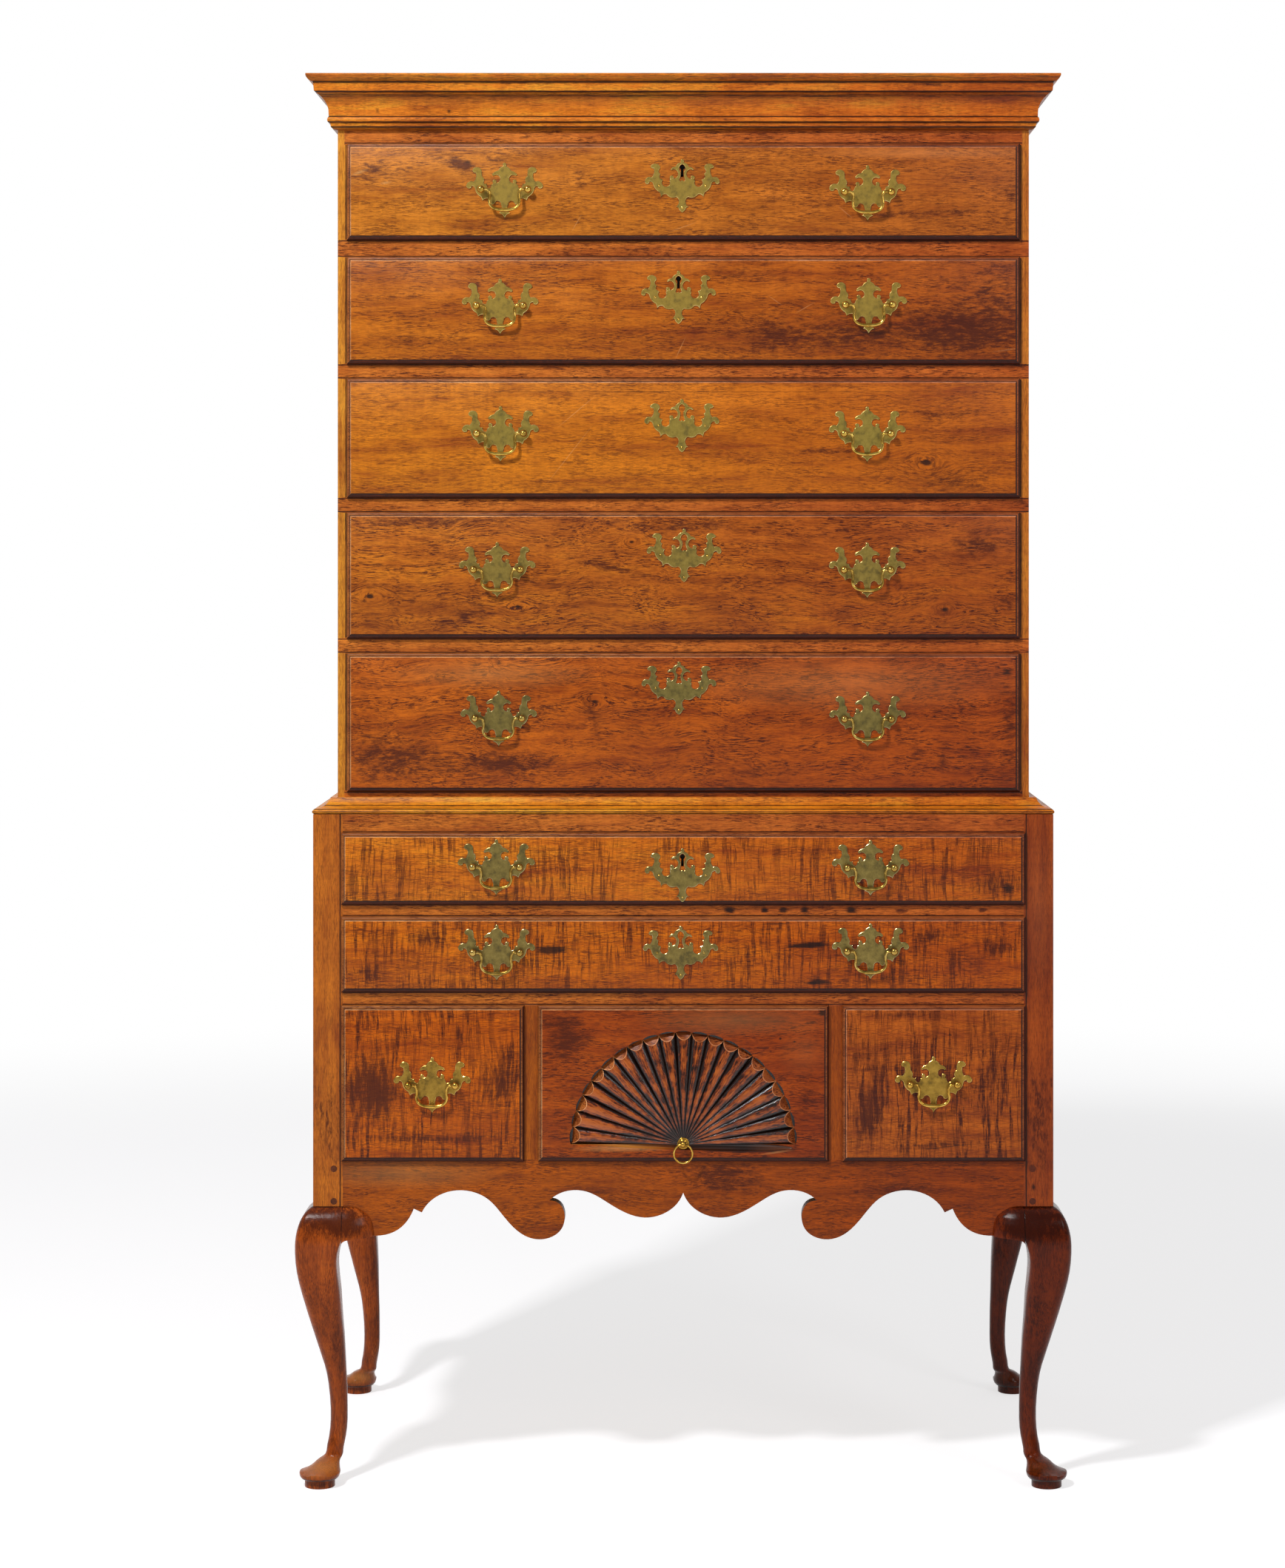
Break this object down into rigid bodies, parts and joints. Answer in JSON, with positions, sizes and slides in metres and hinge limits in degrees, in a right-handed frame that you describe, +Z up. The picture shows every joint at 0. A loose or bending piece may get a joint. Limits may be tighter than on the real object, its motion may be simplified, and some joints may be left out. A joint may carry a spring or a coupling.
{
  "type": "highboy chest of drawers",
  "caption": "Tall chest of drawers in two cases with a moulded cornice, lipped drawers, a carved fan, a scrolled apron, cabriole legs and brass bail pulls.",
  "frame": {"origin": "on the floor, under the middle of the whole chest's bounding box", "axes": "+Z up, drawer fronts face -Y, +X to the right of a viewer at the front"},
  "size_m": [1.0466, 0.5566, 1.9096],
  "materials": {
    "maple_case": "worn honey varnish",
    "maple_fronts": "worn honey varnish",
    "maple_legs": "dark red-brown varnish",
    "pine": "bare, aged",
    "brass": "aged, matt",
    "bright_brass": "polished by hands"
  },
  "bodies": {
    "case": {"cabriole_legs": "maple_legs", "knee_blocks": "maple_legs", "stile_pegs": "maple_legs", "front_apron": "maple_case", "lower_case_sides": "maple_case", "lower_case_back": "pine", "lower_case_rails": "maple_case", "upper_case_shell": "maple_case", "upper_case_rails": "maple_case", "upper_case_back": "pine", "cornice": "maple_case", "waist_moulding": "maple_case", "drawer_runners": "pine"},
    "top_drawer": {"top_drawer_front": "maple_fronts", "top_drawer_box": "pine", "top_drawer_brasses": "brass"},
    "top_drawer_left_bail": {"top_drawer_left_bail": "bright_brass"},
    "top_drawer_right_bail": {"top_drawer_right_bail": "bright_brass"},
    "second_drawer": {"second_drawer_front": "maple_fronts", "second_drawer_box": "pine", "second_drawer_brasses": "brass"},
    "second_drawer_left_bail": {"second_drawer_left_bail": "bright_brass"},
    "second_drawer_right_bail": {"second_drawer_right_bail": "bright_brass"},
    "third_drawer": {"third_drawer_front": "maple_fronts", "third_drawer_box": "pine", "third_drawer_brasses": "brass"},
    "third_drawer_left_bail": {"third_drawer_left_bail": "bright_brass"},
    "third_drawer_right_bail": {"third_drawer_right_bail": "bright_brass"},
    "fourth_drawer": {"fourth_drawer_front": "maple_fronts", "fourth_drawer_box": "pine", "fourth_drawer_brasses": "brass"},
    "fourth_drawer_left_bail": {"fourth_drawer_left_bail": "bright_brass"},
    "fourth_drawer_right_bail": {"fourth_drawer_right_bail": "bright_brass"},
    "fifth_drawer": {"fifth_drawer_front": "maple_fronts", "fifth_drawer_box": "pine", "fifth_drawer_brasses": "brass"},
    "fifth_drawer_left_bail": {"fifth_drawer_left_bail": "bright_brass"},
    "fifth_drawer_right_bail": {"fifth_drawer_right_bail": "bright_brass"},
    "sixth_drawer": {"sixth_drawer_front": "maple_fronts", "sixth_drawer_box": "pine", "sixth_drawer_brasses": "brass"},
    "sixth_drawer_left_bail": {"sixth_drawer_left_bail": "bright_brass"},
    "sixth_drawer_right_bail": {"sixth_drawer_right_bail": "bright_brass"},
    "seventh_drawer": {"seventh_drawer_front": "maple_fronts", "seventh_drawer_box": "pine", "seventh_drawer_brasses": "brass"},
    "seventh_drawer_left_bail": {"seventh_drawer_left_bail": "bright_brass"},
    "seventh_drawer_right_bail": {"seventh_drawer_right_bail": "bright_brass"},
    "left_small_drawer": {"left_small_drawer_front": "maple_fronts", "left_small_drawer_box": "pine", "left_small_drawer_brasses": "brass"},
    "left_small_drawer_bail": {"left_small_drawer_bail": "bright_brass"},
    "fan_drawer": {"fan_drawer_front": "maple_fronts", "fan_drawer_box": "pine", "fan_drawer_brasses": "brass"},
    "right_small_drawer": {"right_small_drawer_front": "maple_fronts", "right_small_drawer_box": "pine", "right_small_drawer_brasses": "brass"},
    "right_small_drawer_bail": {"right_small_drawer_bail": "bright_brass"},
    "fan_drawer_ring": {"fan_drawer_ring": "bright_brass"}
  },
  "joints": [
    {"name": "top_drawer_slide", "type": "slide", "parent": "case", "child": "top_drawer", "axis": [0, -1, 0], "range_m": [0, 0.33]},
    {"name": "top_drawer_left_bail_hinge", "type": "hinge", "parent": "top_drawer", "child": "top_drawer_left_bail", "pos_m": [-0.2426, -0.2435, 1.7553], "axis": [-1, 0, 0], "range_deg": [-10, 110]},
    {"name": "top_drawer_right_bail_hinge", "type": "hinge", "parent": "top_drawer", "child": "top_drawer_right_bail", "pos_m": [0.2502, -0.2435, 1.7518], "axis": [-1, 0, 0], "range_deg": [-10, 110]},
    {"name": "second_drawer_slide", "type": "slide", "parent": "case", "child": "second_drawer", "axis": [0, -1, 0], "range_m": [0, 0.33]},
    {"name": "second_drawer_left_bail_hinge", "type": "hinge", "parent": "second_drawer", "child": "second_drawer_left_bail", "pos_m": [-0.2487, -0.2435, 1.5977], "axis": [-1, 0, 0], "range_deg": [-10, 110]},
    {"name": "second_drawer_right_bail_hinge", "type": "hinge", "parent": "second_drawer", "child": "second_drawer_right_bail", "pos_m": [0.2517, -0.2435, 1.5987], "axis": [-1, 0, 0], "range_deg": [-10, 110]},
    {"name": "third_drawer_slide", "type": "slide", "parent": "case", "child": "third_drawer", "axis": [0, -1, 0], "range_m": [0, 0.33]},
    {"name": "third_drawer_left_bail_hinge", "type": "hinge", "parent": "third_drawer", "child": "third_drawer_left_bail", "pos_m": [-0.2482, -0.2435, 1.4245], "axis": [-1, 0, 0], "range_deg": [-10, 110]},
    {"name": "third_drawer_right_bail_hinge", "type": "hinge", "parent": "third_drawer", "child": "third_drawer_right_bail", "pos_m": [0.2497, -0.2435, 1.424], "axis": [-1, 0, 0], "range_deg": [-10, 110]},
    {"name": "fourth_drawer_slide", "type": "slide", "parent": "case", "child": "fourth_drawer", "axis": [0, -1, 0], "range_m": [0, 0.33]},
    {"name": "fourth_drawer_left_bail_hinge", "type": "hinge", "parent": "fourth_drawer", "child": "fourth_drawer_left_bail", "pos_m": [-0.2527, -0.2435, 1.2398], "axis": [-1, 0, 0], "range_deg": [-10, 110]},
    {"name": "fourth_drawer_right_bail_hinge", "type": "hinge", "parent": "fourth_drawer", "child": "fourth_drawer_right_bail", "pos_m": [0.2497, -0.2435, 1.2393], "axis": [-1, 0, 0], "range_deg": [-10, 110]},
    {"name": "fifth_drawer_slide", "type": "slide", "parent": "case", "child": "fifth_drawer", "axis": [0, -1, 0], "range_m": [0, 0.33]},
    {"name": "fifth_drawer_left_bail_hinge", "type": "hinge", "parent": "fifth_drawer", "child": "fifth_drawer_left_bail", "pos_m": [-0.2507, -0.2435, 1.0379], "axis": [-1, 0, 0], "range_deg": [-10, 110]},
    {"name": "fifth_drawer_right_bail_hinge", "type": "hinge", "parent": "fifth_drawer", "child": "fifth_drawer_right_bail", "pos_m": [0.2502, -0.2435, 1.0369], "axis": [-1, 0, 0], "range_deg": [-10, 110]},
    {"name": "sixth_drawer_slide", "type": "slide", "parent": "case", "child": "sixth_drawer", "axis": [0, -1, 0], "range_m": [0, 0.36]},
    {"name": "sixth_drawer_left_bail_hinge", "type": "hinge", "parent": "sixth_drawer", "child": "sixth_drawer_left_bail", "pos_m": [-0.252, -0.2735, 0.839], "axis": [-1, 0, 0], "range_deg": [-10, 110]},
    {"name": "sixth_drawer_right_bail_hinge", "type": "hinge", "parent": "sixth_drawer", "child": "sixth_drawer_right_bail", "pos_m": [0.2525, -0.2735, 0.838], "axis": [-1, 0, 0], "range_deg": [-10, 110]},
    {"name": "seventh_drawer_slide", "type": "slide", "parent": "case", "child": "seventh_drawer", "axis": [0, -1, 0], "range_m": [0, 0.36]},
    {"name": "seventh_drawer_left_bail_hinge", "type": "hinge", "parent": "seventh_drawer", "child": "seventh_drawer_left_bail", "pos_m": [-0.2515, -0.2735, 0.724], "axis": [-1, 0, 0], "range_deg": [-10, 110]},
    {"name": "seventh_drawer_right_bail_hinge", "type": "hinge", "parent": "seventh_drawer", "child": "seventh_drawer_right_bail", "pos_m": [0.2525, -0.2735, 0.7255], "axis": [-1, 0, 0], "range_deg": [-10, 110]},
    {"name": "left_small_drawer_slide", "type": "slide", "parent": "case", "child": "left_small_drawer", "axis": [0, -1, 0], "range_m": [0, 0.36]},
    {"name": "left_small_drawer_bail_hinge", "type": "hinge", "parent": "left_small_drawer", "child": "left_small_drawer_bail", "pos_m": [-0.3385, -0.2735, 0.545], "axis": [-1, 0, 0], "range_deg": [-10, 110]},
    {"name": "fan_drawer_slide", "type": "slide", "parent": "case", "child": "fan_drawer", "axis": [0, -1, 0], "range_m": [0, 0.36]},
    {"name": "right_small_drawer_slide", "type": "slide", "parent": "case", "child": "right_small_drawer", "axis": [0, -1, 0], "range_m": [0, 0.36]},
    {"name": "right_small_drawer_bail_hinge", "type": "hinge", "parent": "right_small_drawer", "child": "right_small_drawer_bail", "pos_m": [0.3375, -0.2735, 0.546], "axis": [-1, 0, 0], "range_deg": [-10, 110]},
    {"name": "fan_drawer_ring_hinge", "type": "hinge", "parent": "fan_drawer", "child": "fan_drawer_ring", "pos_m": [0, -0.2725, 0.466], "axis": [-1, 0, 0], "range_deg": [-10, 110]}
  ]
}
